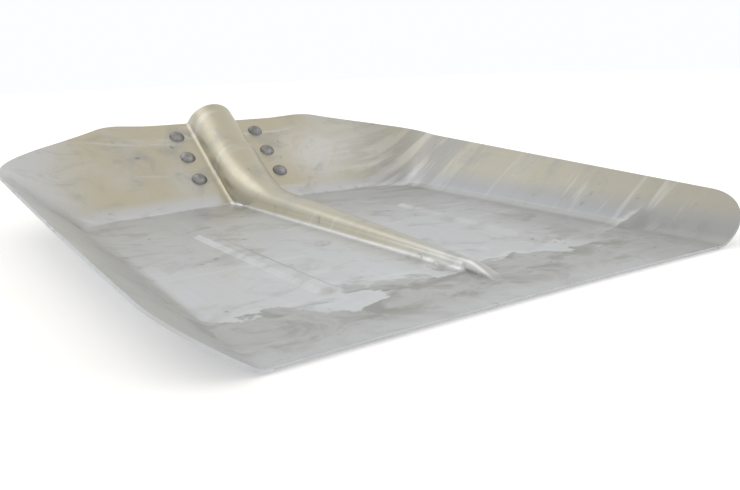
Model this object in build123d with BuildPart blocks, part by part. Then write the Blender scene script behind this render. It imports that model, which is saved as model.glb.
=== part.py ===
"""Aluminium scoop shovel head with a riveted two-part handle socket."""
import os
from math import asin, cos, degrees, radians, sin, tan

from build123d import *

os.makedirs("parts", exist_ok=True)

# ---------------------------------------------------------------- dimensions (mm)
SHEET = 1.6  # thickness of both stampings

# Floor of the scoop. The front corners are at FRONT, which puts the origin under the middle.
FRONT = -218.5
FLOOR_FRONT_HALF = 148.6
FLOOR_REAR_HALF = 145.0
BACK_FOOT = FRONT + 330.0
OUTER_FOOT = FRONT + 324.0
FLOOR_CORNER = 36.0
BEND_RADIUS = 11.0

# Walls. Each lean is measured from the floor, and the back is flattest at the socket.
FRONT_LEAN = radians(35.2)
REAR_LEAN = radians(43.5)
BACK_LEAN = radians(34.0)
OUTER_LEAN = radians(42.5)
FLAT_HALF = 60.0  # half width of the flat middle of the back wall
SHOULDER_RADIUS = 90.0
CORNER_FLARE = 0.5  # growth of the rear corner radius per mm of height
PAN_TOP = 90.0

# Trimmed rim: (half width, distance back, height) at each turn
RIM_FRONT = (181.8, 0.0, 25.0)
RIM_REAR = (191.0, 376.5, 47.0)
RIM_SHOULDER = (98.0, 416.5, 69.0)
RIM_REAR_RADIUS = 76.0
RIM_SHOULDER_RADIUS = 40.0
MOUTH = 111.5  # socket mouth and middle of the rim, measured up the back wall
NOSE_RADIUS = 34.0  # rounded front end of each side wall

# Front edge: slightly hollow in plan and ground thin from below
EDGE_HOLLOW = 4.5
EDGE_RADIUS = (RIM_FRONT[0] ** 2 + EDGE_HOLLOW**2) / (2 * EDGE_HOLLOW)
BEVEL_WIDTH = 7.0
BEVEL_HEIGHT = 0.9
BEVEL_HALF = 143.0

# Handle socket, pressed half in the blade and half in the back piece
BORE_RADIUS = 20.0
SOCKET_END = 44.0  # the straight bore runs from here to the mouth
NECK_START = -45.0  # below it the front half narrows into the ridge
NECK_RADIUS = 18.0
FLANGE_HALF = 50.0
FLANGE_FOOT = 14.0
FLANGE_CORNER = 10.0
ROOT_RADIUS = 4.0
SCREW_RADIUS = 2.6
SCREW_HEIGHT = 90.0

# Ridge along the floor, a long taper: (distance back, height of the crest, radius behind)
RIDGE = ((348.0, 18.0, 17.5), (60.0, 7.0, 4.0))

# Two low stiffening ribs with gentle flanks, a little closer together at the front
RIB_X = 82.0
RIB_TURN = 1.4
RIB_FRONT, RIB_BACK = FRONT + 67.5, FRONT + 237.5
RIB_WIDTH = 15.0
RIB_HEIGHT = 1.6
RIB_SLOPE = 20.0

# Rivets
RIVET_X = 37.8
RIVET_HEIGHTS = {"bottom": 35.0, "middle": 64.2, "top": 93.4}
SHANK_RADIUS = 2.75
HOLE_RADIUS = 2.8
HEAD_RADIUS = 6.7
HEAD_HEIGHT = 4.2
TAIL_RADIUS = 4.6
TAIL_HEIGHT = 2.2
TAIL_EDGE = 0.6

# Back wall plane: local Y runs up the wall, local Z stands out of its front face.
# The two halves of the socket meet on the plane of the wall's rear face.
WALL = Plane(
    origin=(0, BACK_FOOT, SHEET),
    x_dir=(1, 0, 0),
    z_dir=(0, -sin(BACK_LEAN), cos(BACK_LEAN)),
)
SPLIT = WALL.offset(-SHEET)
RIVET_SPOTS = [(side * RIVET_X, height) for side in (-1, 1) for height in RIVET_HEIGHTS.values()]


def across_socket(height):
    """Plane square to the socket's axis, at a height up the back wall."""
    return Plane(SPLIT.origin + SPLIT.y_dir * height, x_dir=(1, 0, 0), z_dir=SPLIT.y_dir)


# ---------------------------------------------------------------- shape of the pan
def outline(height, turns, radii, hollow=0):
    """Symmetric plan outline from the front corner round to the middle of the back."""
    points = turns + [(-x, y) for x, y in reversed(turns)]
    with BuildSketch(Plane.XY.offset(height)) as shape:
        with BuildLine():
            if hollow:
                ThreePointArc(points[-1], (0, points[0][1] + hollow), points[0])
            else:
                Line(points[-1], points[0])
            Polyline(*points)
        make_face()
        for (x, y), radius in zip(turns[1:], radii):
            turn = [v for v in shape.vertices() if abs(abs(v.X) - x) + abs(v.Y - y) < 0.01]
            fillet(turn, radius)
    return shape.sketch


def pan_outline(height, skin):
    """Plan of the walls at one height, moved out square to them by the skin."""

    def out(foot, lean):
        return foot + (height - SHEET) / tan(lean) + skin / sin(lean)

    turns = [
        (out(FLOOR_FRONT_HALF, FRONT_LEAN), FRONT - 20),
        (out(FLOOR_REAR_HALF, REAR_LEAN), out(OUTER_FOOT, OUTER_LEAN)),
        (FLAT_HALF, out(BACK_FOOT, BACK_LEAN)),
    ]
    corner = FLOOR_CORNER + (height - SHEET) * CORNER_FLARE + skin
    return outline(height, turns, (corner, SHOULDER_RADIUS))


def rim_outline(height):
    """Plan of the trimming cut at one height: it leans in, square to the walls."""

    def lean_in(size, z, lean):
        return size - (height - z) * tan(lean)

    front_half, _, front_z = RIM_FRONT
    rear_half, rear_y, rear_z = RIM_REAR
    shoulder_half, shoulder_y, shoulder_z = RIM_SHOULDER
    turns = [
        (lean_in(front_half, front_z, FRONT_LEAN), FRONT),
        (lean_in(rear_half, rear_z, REAR_LEAN), FRONT + lean_in(rear_y, rear_z, OUTER_LEAN)),
        (shoulder_half, FRONT + lean_in(shoulder_y, shoulder_z, OUTER_LEAN)),
        (FLANGE_HALF, lean_in(BACK_FOOT + MOUTH / cos(BACK_LEAN), SHEET, BACK_LEAN)),
    ]
    radii = (RIM_REAR_RADIUS, RIM_SHOULDER_RADIUS, RIM_SHOULDER_RADIUS)
    return outline(height, turns, radii, EDGE_HOLLOW)


def pan(base, skin):
    """Solid that fills the scoop down to one face of its sheet."""
    with BuildPart() as solid:
        loft(sections=[pan_outline(base, skin), pan_outline(PAN_TOP, skin)], ruled=True)
        foot = solid.faces().sort_by(Axis.Z)[0].edges().sort_by(Axis.Y)[1:]
        fillet(foot, BEND_RADIUS + skin)
    return solid.part


def centre_form(skin):
    """Front half of the socket and the tapering ridge, out to the skin."""
    with BuildPart() as form:
        with BuildSketch(across_socket(SOCKET_END)):
            Circle(BORE_RADIUS + skin)
        extrude(amount=MOUTH)
        for height, radius in ((NECK_START, NECK_RADIUS), (SOCKET_END, BORE_RADIUS)):
            with BuildSketch(across_socket(height)):
                Circle(radius + skin)
        loft()
        for back, height, radius in RIDGE:
            middle = (0, FRONT + back, height - SHEET - radius)
            with BuildSketch(Plane(middle, x_dir=(1, 0, 0), z_dir=(0, 1, 0))):
                Circle(radius + skin)
        loft()
        with Locations(middle):
            Sphere(radius + skin)
    return form.part


def ribs(base, width):
    """Two low ribs standing on a base height."""
    with BuildPart() as form:
        with BuildSketch(Plane.XY.offset(base)):
            for side in (-1, 1):
                with Locations((side * RIB_X, (RIB_FRONT + RIB_BACK) / 2)):
                    SlotOverall(RIB_BACK - RIB_FRONT, width, rotation=90 - side * RIB_TURN)
        extrude(amount=RIB_HEIGHT, taper=90 - RIB_SLOPE)
    return form.part


def near_socket(edge):
    """True for the edges where the pressed form leaves the pan."""
    return abs(edge.position_at(0.5).X) < BORE_RADIUS + 5 and edge.center().Z < MOUTH / 2


with BuildPart() as hollow:
    add(pan(SHEET, 0))
    pan_edges = hollow.edges()
    add(centre_form(SHEET), mode=Mode.SUBTRACT)
    fillet((hollow.edges() - pan_edges).filter_by(near_socket), ROOT_RADIUS)
    add(ribs(SHEET, RIB_WIDTH), mode=Mode.SUBTRACT)

with BuildPart() as backing:
    add(pan(0, SHEET))
    pan_edges = backing.edges()
    add(centre_form(0), mode=Mode.SUBTRACT)
    fillet((backing.edges() - pan_edges).filter_by(near_socket), ROOT_RADIUS + SHEET)
    add(ribs(0, RIB_WIDTH - 2 * SHEET * tan(radians(RIB_SLOPE / 2))), mode=Mode.SUBTRACT)

with BuildPart() as rim:
    loft(sections=[rim_outline(-5), rim_outline(PAN_TOP)], ruled=True)
    front_face = rim.faces().sort_by(Axis.Y)[0]
    fillet([e for e in front_face.edges() if e.bounding_box().size.Z > PAN_TOP / 2], NOSE_RADIUS)


# ---------------------------------------------------------------- blade
with BuildPart() as blade:
    add(backing.part)
    add(hollow.part, mode=Mode.SUBTRACT)
    add(rim.part, mode=Mode.INTERSECT)
    # bevel ground under the front edge, between the side bends
    edge_y = FRONT + EDGE_HOLLOW
    edge_turn = degrees(asin(BEVEL_HALF / EDGE_RADIUS))
    slope = BEVEL_HEIGHT / BEVEL_WIDTH
    with BuildSketch(Plane.YZ) as bevel:
        with BuildLine():
            Polyline((edge_y - 1, -1), (edge_y - 1, BEVEL_HEIGHT + slope))
            Polyline((edge_y - 1, BEVEL_HEIGHT + slope), (edge_y + BEVEL_WIDTH + 1 / slope, -1))
            Line((edge_y + BEVEL_WIDTH + 1 / slope, -1), (edge_y - 1, -1))
        make_face()
    for turn in (edge_turn, -edge_turn):
        edge_axis = Axis((0, edge_y - EDGE_RADIUS, 0), (0, 0, 1))
        revolve(bevel.sketch, axis=edge_axis, revolution_arc=turn, mode=Mode.SUBTRACT)
    with Locations(*[WALL * Pos(*spot) for spot in RIVET_SPOTS]):
        Cylinder(HOLE_RADIUS, 4 * SHEET, mode=Mode.SUBTRACT)
blade.part.label = "blade"
export_step(blade.part, "parts/blade.step")


# ---------------------------------------------------------------- back half of the socket
def socket_root(piece, depth):
    """Edges where the channel leaves its flanges, on the face at a depth behind the split."""
    edges = []
    for edge in piece.edges():
        spot = SPLIT.to_local_coords(edge.center())
        if abs(spot.Z + depth) < 0.01 and FLANGE_FOOT + 1 < spot.Y < MOUTH - 1 and abs(spot.X) < FLANGE_HALF - 10:
            edges.append(edge)
    return edges


with BuildPart() as socket_back:
    with BuildSketch(SPLIT):
        with Locations((0, (FLANGE_FOOT + MOUTH) / 2)):
            RectangleRounded(2 * FLANGE_HALF, MOUTH - FLANGE_FOOT, FLANGE_CORNER)
    extrude(amount=-SHEET)
    with BuildSketch(across_socket(SOCKET_END)):
        Circle(BORE_RADIUS + SHEET)
    extrude(amount=MOUTH - SOCKET_END)
    with Locations(across_socket(SOCKET_END)):
        Sphere(BORE_RADIUS + SHEET)
    split(bisect_by=SPLIT, keep=Keep.BOTTOM)
    fillet(socket_root(socket_back, SHEET), ROOT_RADIUS)
    with BuildSketch(across_socket(SOCKET_END)):
        Circle(BORE_RADIUS)
    extrude(amount=MOUTH - SOCKET_END, mode=Mode.SUBTRACT)
    with Locations(across_socket(SOCKET_END)):
        Sphere(BORE_RADIUS, mode=Mode.SUBTRACT)
    fillet(socket_root(socket_back, 0), ROOT_RADIUS + SHEET)
    with Locations(*[SPLIT * Pos(*spot) for spot in RIVET_SPOTS]):
        Cylinder(HOLE_RADIUS, 4 * SHEET, mode=Mode.SUBTRACT)
    with Locations(SPLIT * Pos(0, SCREW_HEIGHT, -BORE_RADIUS)):
        Cylinder(SCREW_RADIUS, 4 * SHEET, mode=Mode.SUBTRACT)
socket_back.part.label = "socket_back"
export_step(socket_back.part, "parts/socket_back.step")


# ---------------------------------------------------------------- rivets
def cap_middle(radius, height):
    """Point halfway round the profile of a domed cap."""
    dome = (radius**2 + height**2) / (2 * height)
    half = asin(radius / dome) / 2
    return dome * sin(half), height - dome * (1 - cos(half))


def set_rivet():
    """Rivet set through both sheets: domed head, shank and formed tail."""
    tail = -2 * SHEET
    skirt = tail - TAIL_EDGE
    head_x, head_z = cap_middle(HEAD_RADIUS, HEAD_HEIGHT)
    tail_x, tail_z = cap_middle(TAIL_RADIUS, TAIL_HEIGHT - TAIL_EDGE)
    with BuildPart() as shape:
        with BuildSketch(Plane.XZ):
            with BuildLine():
                Line((0, tail - TAIL_HEIGHT), (0, HEAD_HEIGHT))
                ThreePointArc((0, HEAD_HEIGHT), (head_x, head_z), (HEAD_RADIUS, 0))
                Polyline((HEAD_RADIUS, 0), (SHANK_RADIUS, 0), (SHANK_RADIUS, tail))
                Polyline((SHANK_RADIUS, tail), (TAIL_RADIUS, tail), (TAIL_RADIUS, skirt))
                ThreePointArc((TAIL_RADIUS, skirt), (tail_x, skirt - tail_z), (0, tail - TAIL_HEIGHT))
            make_face()
        revolve(axis=Axis.Z)
    return shape.part


for side_name, side in (("left", -1), ("right", 1)):
    for row, height in RIVET_HEIGHTS.items():
        name = f"rivet_{side_name}_{row}"
        with BuildPart() as rivet:
            with Locations(WALL * Pos(side * RIVET_X, height)):
                add(set_rivet())
        rivet.part.label = name
        export_step(rivet.part, f"parts/{name}.step")
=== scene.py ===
import math

import bmesh
import bpy
from mathutils import Matrix, Vector


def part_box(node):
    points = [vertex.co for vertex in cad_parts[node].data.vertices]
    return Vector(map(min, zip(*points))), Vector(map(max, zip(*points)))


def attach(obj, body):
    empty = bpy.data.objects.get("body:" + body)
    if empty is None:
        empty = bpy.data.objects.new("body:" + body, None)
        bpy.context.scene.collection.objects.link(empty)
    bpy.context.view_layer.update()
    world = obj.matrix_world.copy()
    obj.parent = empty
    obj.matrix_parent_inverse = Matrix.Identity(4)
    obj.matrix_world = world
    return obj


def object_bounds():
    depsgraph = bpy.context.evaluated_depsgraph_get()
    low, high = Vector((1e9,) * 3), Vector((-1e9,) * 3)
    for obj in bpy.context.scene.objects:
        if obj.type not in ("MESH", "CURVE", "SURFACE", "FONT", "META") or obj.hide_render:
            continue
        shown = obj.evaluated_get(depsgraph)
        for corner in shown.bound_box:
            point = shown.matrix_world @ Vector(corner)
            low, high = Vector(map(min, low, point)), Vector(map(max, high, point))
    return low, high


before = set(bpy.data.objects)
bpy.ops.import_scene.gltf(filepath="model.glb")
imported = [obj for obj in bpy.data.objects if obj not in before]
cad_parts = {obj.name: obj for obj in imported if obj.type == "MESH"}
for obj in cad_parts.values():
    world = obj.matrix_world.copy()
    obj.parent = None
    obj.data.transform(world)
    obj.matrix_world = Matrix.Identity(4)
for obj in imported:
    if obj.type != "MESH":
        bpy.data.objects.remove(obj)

CAD_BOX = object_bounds()
BLADE_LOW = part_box("blade")[0]

# ---------------------------------------------------------------- the head's measures (m)
SHEET = 0.0016
FRONT = BLADE_LOW.y
BACK_FOOT = FRONT + 0.330
BACK_LEAN = math.radians(34.0)
SOCKET_RADIUS = 0.0216

# the floor ridge at its two ends: distance back from the front edge, crest height and radius
RIDGE_FRONT = 0.060
RIDGE_REAR = 0.348
CREST_FRONT = 0.0070
CREST_REAR = 0.0180
ROUND_FRONT = 0.0040
ROUND_REAR = 0.0175

# the ridge blend: where it starts and ends, how far it covers the ridge, and its mesh
BLEND_NOSE = FRONT + 0.018
BLEND_TAIL = BACK_FOOT + 0.035
CREST_COVER = 0.0005
SIDE_COVER = 0.0003
BLEND_ROWS = 150
BLEND_COLUMNS = 40

# ---------------------------------------------------------------- colours of the metal, and of the light and shade painted on it
COOL = (0.575, 0.59, 0.61)
# painted warm reflection, laid on the walls and the ridge's sides
WARM_REFLECTION = (0.52, 0.495, 0.40)
# pale rub marks and film rims, and a painted highlight right of the rivets
PALE_MARKS_AND_HIGHLIGHT = (0.72, 0.73, 0.75)
# dark smears and streaks, and painted shade on the right wall, left of the rivets and in the right rear
# corner
DARK_SMEAR_AND_SHADE = (0.36, 0.365, 0.36)
# painted shade in the creases along the bends
BLUE_GREY_CREASE_SHADE = (0.36, 0.38, 0.42)
STAIN = (0.22, 0.22, 0.21)
FILM = (0.33, 0.335, 0.325)


# ---------------------------------------------------------------- node helper
class Shader:
    """A material's node tree, with short calls that add one linked node each."""

    def __init__(self, name):
        self.material = bpy.data.materials.new(name)
        self.material.use_nodes = True
        self.tree = self.material.node_tree
        self.tree.nodes.clear()
        self.place = self.node("ShaderNodeTexCoord").outputs["Object"]
        parts = self.node("ShaderNodeSeparateXYZ", Vector=self.place)
        self.x, self.y, self.z = parts.outputs

    def node(self, kind, settings=None, **inputs):
        made = self.tree.nodes.new(kind)
        for key, value in (settings or {}).items():
            setattr(made, key, value)
        for key, value in inputs.items():
            self.feed(made.inputs[key.replace("_", " ")], value)
        return made

    def feed(self, socket, value):
        if isinstance(value, bpy.types.NodeSocket):
            self.tree.links.new(value, socket)
        else:
            socket.default_value = value

    def math(self, operation, *values):
        made = self.node("ShaderNodeMath", {"operation": operation})
        for socket, value in zip(made.inputs, values):
            self.feed(socket, value)
        return made.outputs[0]

    def product(self, first, *others):
        for other in others:
            first = self.math("MULTIPLY", first, other)
        return first

    def fade(self, value, start, end, low=0.0, high=1.0):
        """Smooth step from low to high as the value goes from start to end."""
        made = self.node("ShaderNodeMapRange", {"interpolation_type": "SMOOTHSTEP"})
        for socket, number in zip(made.inputs, (value, start, end, low, high)):
            self.feed(socket, number)
        return made.outputs[0]

    def noise(self, size, detail=3.0, warp=0.0, turn=0.0, rough=0.5):
        """Noise whose grains have the given size along each axis, turned about Z."""
        scale = [1 / length for length in size]
        where = self.node("ShaderNodeMapping", Vector=self.place, Scale=scale, Rotation=(0, 0, turn))
        made = self.node("ShaderNodeTexNoise", Vector=where.outputs[0], Scale=1.0, Detail=detail)
        self.feed(made.inputs["Distortion"], warp)
        self.feed(made.inputs["Roughness"], rough)
        return made.outputs[0]

    def blend(self, factor, first, second):
        """The first colour, turning into the second as the factor goes from 0 to 1."""
        made = self.node("ShaderNodeMix", {"data_type": "RGBA"})
        self.feed(made.inputs[0], factor)
        for socket, value in zip(made.inputs[6:8], (first, second)):
            self.feed(socket, value if isinstance(value, bpy.types.NodeSocket) else (*value, 1.0))
        return made.outputs[2]

    def spot(self, centre, reach):
        """One at a point of the sheet, fading to nothing at the reach from it."""
        made = self.node("ShaderNodeVectorMath", {"operation": "DISTANCE"})
        self.feed(made.inputs[0], self.place)
        self.feed(made.inputs[1], centre)
        return self.fade(made.outputs["Value"], reach, 0.0)

    def metal(self, colour, roughness, height, metallic=1.0, bump=0.25):
        """Closes the tree with a metal surface and returns the material."""
        bumped = self.node("ShaderNodeBump", Strength=bump, Distance=0.0004, Height=height)
        surface = self.node("ShaderNodeBsdfPrincipled", Base_Color=colour, Metallic=metallic)
        self.feed(surface.inputs["Roughness"], roughness)
        self.feed(surface.inputs["Normal"], bumped.outputs[0])
        end = self.node("ShaderNodeOutputMaterial")
        self.tree.links.new(surface.outputs[0], end.inputs[0])
        return self.material


# ---------------------------------------------------------------- materials
def sheet_with_painted_light(sheet, broad, ridge_side):
    """Cool sheet colour with painted light: a warm painted reflection on the walls and the ridge's
    sides, painted shade darkening the right wall, and a painted blue-grey shade band in the creases
    along the bends.
    """
    # painted warm reflection: the walls and the ridge's sides take a patchy warm tone, weaker on the
    # left wall and towards the ridge's front
    wall = sheet.fade(sheet.z, 0.005, 0.012)
    patchy = sheet.fade(broad, 0.34, 0.58, 0.40, 1.0)
    left_side_cooler = sheet.fade(sheet.x, -0.165, -0.115, 0.15, 1.0)
    ridge_fading_forward = sheet.fade(sheet.y, FRONT + 0.05, FRONT + 0.14, 0.2, 1.0)
    painted_warmth = sheet.product(wall, patchy, left_side_cooler)
    painted_warmth = sheet.math("MAXIMUM", painted_warmth, sheet.product(ridge_side, ridge_fading_forward))
    colour = sheet.blend(painted_warmth, COOL, WARM_REFLECTION)

    # painted shade: the right wall is darkened
    right_wall_shade = sheet.fade(sheet.x, 0.125, 0.155)
    colour = sheet.blend(sheet.product(right_wall_shade, 0.42), colour, DARK_SMEAR_AND_SHADE)

    # painted shade: a blue-grey band in the creases along the bends, stronger on the right
    above_floor = sheet.fade(sheet.z, 0.002, 0.006)
    below_wall = sheet.fade(sheet.z, 0.022, 0.008)
    before_back = sheet.fade(sheet.y, BACK_FOOT + 0.03, BACK_FOOT - 0.02)
    stronger_right = sheet.fade(sheet.x, 0.100, 0.140, 0.15, 0.75)
    band = sheet.product(above_floor, below_wall, before_back, stronger_right)
    return sheet.blend(band, colour, BLUE_GREY_CREASE_SHADE)


def painted_light_and_rub_streaks(sheet, colour, cloud, rubs):
    """A painted highlight right of the rivets, painted shade left of them, dark rub streaks that also
    paint shade into the right rear corner, and pale rub streaks.
    """
    # painted highlight: a pale patch right of the rivets
    right_of_rivets = sheet.spot((0.085, 0.145, 0.045), 0.060)
    painted_highlight = sheet.product(right_of_rivets, sheet.fade(cloud, 0.30, 0.60, 0.2, 0.9))
    colour = sheet.blend(painted_highlight, colour, PALE_MARKS_AND_HIGHLIGHT)
    # painted shade: a grey patch left of the rivets, where the wall turns
    left_of_rivets = sheet.spot((-0.075, 0.160, 0.040), 0.050)
    painted_shade_patch = sheet.product(left_of_rivets, sheet.fade(cloud, 0.35, 0.65, 0.1, 0.6))
    colour = sheet.blend(painted_shade_patch, colour, DARK_SMEAR_AND_SHADE)
    # dark rub streaks, laid strongly so that they also paint shade into the right rear corner
    streaks_and_corner_shade = sheet.product(sheet.spot((0.165, 0.090, 0.040), 0.110), sheet.fade(rubs, 0.47, 0.53))
    colour = sheet.blend(sheet.product(streaks_and_corner_shade, 0.9), colour, DARK_SMEAR_AND_SHADE)
    pale_streaks = sheet.product(sheet.spot((0.150, 0.110, 0.040), 0.110), sheet.fade(rubs, 0.45, 0.40))
    return sheet.blend(sheet.product(pale_streaks, 0.25), colour, PALE_MARKS_AND_HIGHLIGHT)


def smeared_sheet(sheet, colour, cloud, rubs):
    """Smears, rub marks and small stains all over."""
    colour = sheet.blend(sheet.fade(cloud, 0.48, 0.72, 0.0, 0.55), colour, DARK_SMEAR_AND_SHADE)
    colour = sheet.blend(sheet.fade(rubs, 0.60, 0.72, 0.0, 0.35), colour, PALE_MARKS_AND_HIGHLIGHT)
    specks = sheet.noise((0.007, 0.009, 0.007), detail=4, warp=0.4)
    stain = sheet.product(sheet.fade(specks, 0.62, 0.70), sheet.fade(cloud, 0.54, 0.62))
    return sheet.blend(sheet.product(stain, 0.6), colour, STAIN)


def filmed_sheet(sheet, colour, broad, cloud, ridge_side):
    """A wavy band of dried film on top of the floor's front, with a paler rim behind it."""
    edge = sheet.noise((0.060, 0.040, 0.060), detail=6, warp=0.7, rough=0.55)
    reach = sheet.math("MULTIPLY_ADD", edge, 0.20, FRONT - 0.040)
    inside = sheet.math("SUBTRACT", reach, sheet.y)
    below_wall = sheet.fade(sheet.z, 0.016, 0.006)
    off_ridge = sheet.math("SUBTRACT", 1.0, ridge_side)
    upper_face = sheet.fade(sheet.z, 0.0003, 0.0011)
    floor_top = sheet.product(below_wall, off_ridge, upper_face)
    thin_at_edge = sheet.fade(sheet.y, FRONT + 0.006, FRONT + 0.026, 0.40, 1.0)
    patchy = sheet.fade(cloud, 0.36, 0.60, 1.0, 0.35)
    film = sheet.product(sheet.fade(inside, 0.0, 0.006), floor_top, patchy, thin_at_edge)
    behind_film = sheet.product(sheet.fade(inside, -0.022, -0.004), sheet.fade(inside, 0.001, -0.003))
    rim = sheet.product(behind_film, floor_top, sheet.fade(broad, 0.40, 0.60, 0.1, 0.5))
    colour = sheet.blend(rim, colour, PALE_MARKS_AND_HIGHLIGHT)
    return sheet.blend(film, colour, FILM), film


def sheet_metal():
    """Bare pressed aluminium: rolled grain, rub marks, smears and a dried film along the front, with
    painted reflections, a painted highlight and painted shade in its colour.
    """
    sheet = Shader("sheet_aluminium")
    broad = sheet.noise((0.09, 0.13, 0.09), detail=4, warp=0.6)
    grain = sheet.noise((0.003, 0.10, 0.003), detail=2)
    rubs = sheet.noise((0.10, 0.011, 0.10), detail=4, warp=0.35, turn=math.radians(35))
    cloud = sheet.noise((0.030, 0.022, 0.030), detail=5, warp=0.8, rough=0.6)
    near_middle = sheet.fade(sheet.math("ABSOLUTE", sheet.x), 0.032, 0.026)
    ridge_side = sheet.product(sheet.fade(sheet.z, 0.0022, 0.0040), near_middle)

    colour = sheet_with_painted_light(sheet, broad, ridge_side)
    colour = painted_light_and_rub_streaks(sheet, colour, cloud, rubs)
    colour = smeared_sheet(sheet, colour, cloud, rubs)
    colour, film = filmed_sheet(sheet, colour, broad, cloud, ridge_side)

    roughness = sheet.fade(broad, 0.25, 0.75, 0.26, 0.40)
    roughness = sheet.math("ADD", roughness, sheet.fade(grain, 0.3, 0.7, 0.0, 0.05))
    roughness = sheet.math("MULTIPLY_ADD", film, 0.25, roughness)
    metallic = sheet.math("MULTIPLY_ADD", film, -0.5, 1.0)
    height = sheet.math("ADD", sheet.product(grain, 0.08), sheet.product(cloud, 0.35))
    height = sheet.math("ADD", height, sheet.product(rubs, 0.2))
    return sheet.metal(colour, roughness, height, metallic)


def plate_metal():
    """Mill-finish aluminium of the socket's back half."""
    plate = Shader("plate_aluminium")
    grain = plate.noise((0.001, 0.03, 0.03), detail=3)
    cloud = plate.noise((0.020, 0.020, 0.020), detail=5, warp=0.5)
    colour = plate.blend(plate.fade(cloud, 0.35, 0.7), (0.60, 0.60, 0.60), (0.50, 0.495, 0.48))
    roughness = plate.fade(cloud, 0.3, 0.7, 0.30, 0.45)
    height = plate.math("ADD", plate.product(grain, 0.4), plate.product(cloud, 0.4))
    return plate.metal(colour, roughness, height)


def rivet_metal():
    """Dull rivets with small dents from setting."""
    rivet = Shader("rivet_aluminium")
    dents = rivet.noise((0.0022, 0.0022, 0.0022), detail=3, warp=0.3)
    cloud = rivet.noise((0.006, 0.006, 0.006), detail=4)
    colour = rivet.blend(rivet.fade(cloud, 0.35, 0.7), (0.33, 0.33, 0.33), (0.22, 0.22, 0.22))
    roughness = rivet.fade(dents, 0.3, 0.7, 0.40, 0.58)
    return rivet.metal(colour, roughness, dents, bump=0.5)


def dress(node, material):
    slots = node.data.materials
    if not slots:
        slots.append(material)
    for index in range(len(slots)):
        slots[index] = material


SHEET_METAL = sheet_metal()
PLATE_METAL = plate_metal()
RIVET_METAL = rivet_metal()
for name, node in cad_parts.items():
    if name.startswith("rivet"):
        dress(node, RIVET_METAL)
    elif name == "socket_back":
        dress(node, PLATE_METAL)
    else:
        dress(node, SHEET_METAL)


# ---------------------------------------------------------------- ridge blend
def step(value, start, end):
    """Smooth step from 0 to 1 as the value goes from start to end."""
    share = min(max((value - start) / (end - start), 0.0), 1.0)
    return share * share * (3 - 2 * share)


def soft_max(first, second, reach):
    """The larger of two heights, rounded over where they differ by less than the reach."""
    overlap = max(reach - abs(first - second), 0.0) / reach
    return max(first, second) + overlap * overlap * reach / 4


def blend_section(y):
    """Half-width, foot and crest of the ridge blend's section at a distance y along the head."""
    wall = (y - BACK_FOOT) * math.tan(BACK_LEAN)
    share = max((y - FRONT - RIDGE_FRONT) / (RIDGE_REAR - RIDGE_FRONT), 0.0)
    fade = step(y, BLEND_NOSE, FRONT + RIDGE_FRONT - 0.005)
    ridge = (CREST_FRONT + (CREST_REAR - CREST_FRONT) * share + CREST_COVER) * fade
    radius = ROUND_FRONT + SIDE_COVER + (ROUND_REAR - ROUND_FRONT) * share
    widening = step(y, BACK_FOOT - 0.035, BACK_FOOT + 0.012)
    half = radius + (SOCKET_RADIUS - SIDE_COVER - radius) * widening

    # the foot: below the floor's top at the nose, and higher beside the ridge
    lift = 0.0020 * step(y, FRONT + RIDGE_FRONT - 0.004, FRONT + RIDGE_FRONT + 0.002)
    foot = soft_max(SHEET, wall + SHEET / math.cos(BACK_LEAN), 0.004) - 0.0009 + lift

    # the crest: the socket's half-round, a little above the blade's own, run softly into the ridge
    tube = wall + (SOCKET_RADIUS + SHEET) / math.cos(BACK_LEAN) - 0.0004
    crest = soft_max(ridge + 0.0002, tube, 0.024) - 0.0003 * step(y, BACK_FOOT, BLEND_TAIL)
    return half, foot, crest


def add_ridge_blend():
    """The soft run of the socket's half-round into the ridge, and the ridge's fade at the front.

    It is an open cover over the blade's ridge and fold. Its crest stands proud of them, most in the
    fold, and its rear end stands proud of the socket by 0.5 mm at the crest and about 2 mm at the sides.
    """
    mesh = bmesh.new()
    grid = []
    for row in range(BLEND_ROWS + 1):
        y = BLEND_NOSE + (BLEND_TAIL - BLEND_NOSE) * row / BLEND_ROWS
        half, foot, crest = blend_section(y)
        line = []
        for column in range(BLEND_COLUMNS + 1):
            angle = math.pi * column / BLEND_COLUMNS
            across = math.copysign(abs(math.cos(angle)) ** 0.9, math.cos(angle))
            up = math.sin(angle) ** 0.9 if 0 < column < BLEND_COLUMNS else 0.0
            line.append(mesh.verts.new((half * across, y, foot + max(crest - foot, 0.0) * up)))
        grid.append(line)
    for near, far in zip(grid, grid[1:]):
        for column in range(BLEND_COLUMNS):
            corners = (near[column + 1], near[column], far[column], far[column + 1])
            mesh.faces.new(corners).smooth = True
    data = bpy.data.meshes.new("ridge_blend")
    mesh.to_mesh(data)
    mesh.free()
    blend = bpy.data.objects.new("ridge_blend", data)
    bpy.context.collection.objects.link(blend)
    data.materials.append(SHEET_METAL)
    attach(blend, "root")


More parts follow.
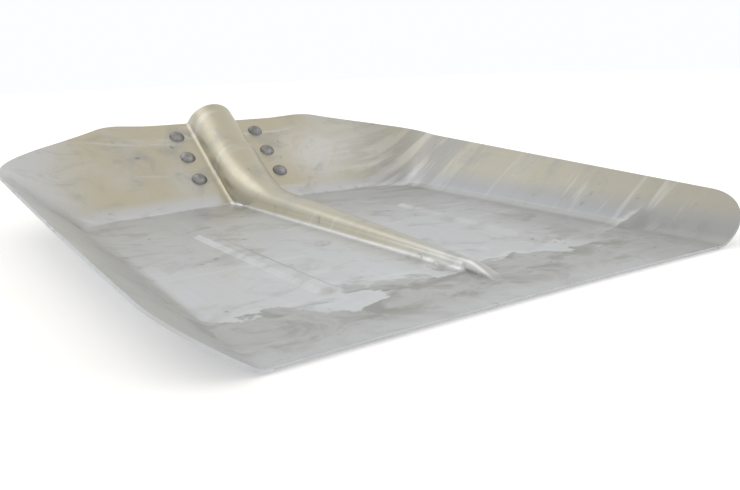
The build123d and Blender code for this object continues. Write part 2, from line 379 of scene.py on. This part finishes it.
# ---------------------------------------------------------------- studio
def add_floor():
    """A wide white floor just under the head."""
    half = 6.0
    gap = 0.0012
    corners = [(-half, -half, 0), (half, -half, 0), (half, half, 0), (-half, half, 0)]
    mesh = bpy.data.meshes.new("floor")
    mesh.from_pydata(corners, [], [(0, 1, 2, 3)])
    floor = bpy.data.objects.new("floor", mesh)
    bpy.context.collection.objects.link(floor)
    floor.location.z = CAD_BOX[0].z - gap
    paint = bpy.data.materials.new("floor_white")
    paint.use_nodes = True
    surface = paint.node_tree.nodes["Principled BSDF"]
    surface.inputs["Base Color"].default_value = (0.93, 0.93, 0.93, 1)
    surface.inputs["Roughness"].default_value = 0.9
    surface.inputs["Emission Color"].default_value = (1, 1, 1, 1)
    surface.inputs["Emission Strength"].default_value = 0.22
    mesh.materials.append(paint)


def add_world():
    """Even studio surroundings: white all round, slightly warmer and darker overhead."""
    world = bpy.data.worlds.new("studio")
    bpy.context.scene.world = world
    world.use_nodes = True
    nodes = world.node_tree.nodes
    links = world.node_tree.links
    place = nodes.new("ShaderNodeTexCoord")
    parts = nodes.new("ShaderNodeSeparateXYZ")
    ramp = nodes.new("ShaderNodeValToRGB")
    links.new(place.outputs["Generated"], parts.inputs[0])
    links.new(parts.outputs["Z"], ramp.inputs[0])
    links.new(ramp.outputs[0], nodes["Background"].inputs[0])
    low, high = ramp.color_ramp.elements
    low.position = 0.15
    low.color = (0.97, 0.985, 1.0, 1)
    high.position = 0.80
    high.color = (0.88, 0.85, 0.80, 1)


def add_softbox(name, place, target, size, power):
    light = bpy.data.lights.new(name, "AREA")
    light.shape = "RECTANGLE"
    light.size, light.size_y = size
    light.energy = power
    box = bpy.data.objects.new(name, light)
    bpy.context.collection.objects.link(box)
    box.location = place
    box.rotation_euler = (Vector(target) - Vector(place)).to_track_quat("-Z", "Y").to_euler()


def add_camera():
    """The camera stands low in front of the head, left of its middle, and looks to the right."""
    data = bpy.data.cameras.new("camera")
    data.lens = 35.06
    data.sensor_width = 36.0
    camera = bpy.data.objects.new("camera", data)
    bpy.context.collection.objects.link(camera)
    place = Matrix.Translation((-0.2476, -0.4464, 0.1086))
    yaw = Matrix.Rotation(-0.5741, 4, "Z")
    pitch = Matrix.Rotation(math.pi / 2 - 0.2414, 4, "X")
    roll = Matrix.Rotation(-0.0317, 4, "Z")
    camera.matrix_world = place @ yaw @ pitch @ roll
    bpy.context.scene.camera = camera


add_ridge_blend()
add_floor()
add_world()
add_softbox("key", place=(-0.6, 0.9, 1.3), target=(0, 0.05, 0), size=(1.3, 0.9), power=3)
add_softbox("fill", place=(0.9, -1.2, 1.0), target=(0, 0, 0), size=(1.2, 0.8), power=3)
add_camera()
bpy.context.scene.view_settings.view_transform = "Standard"
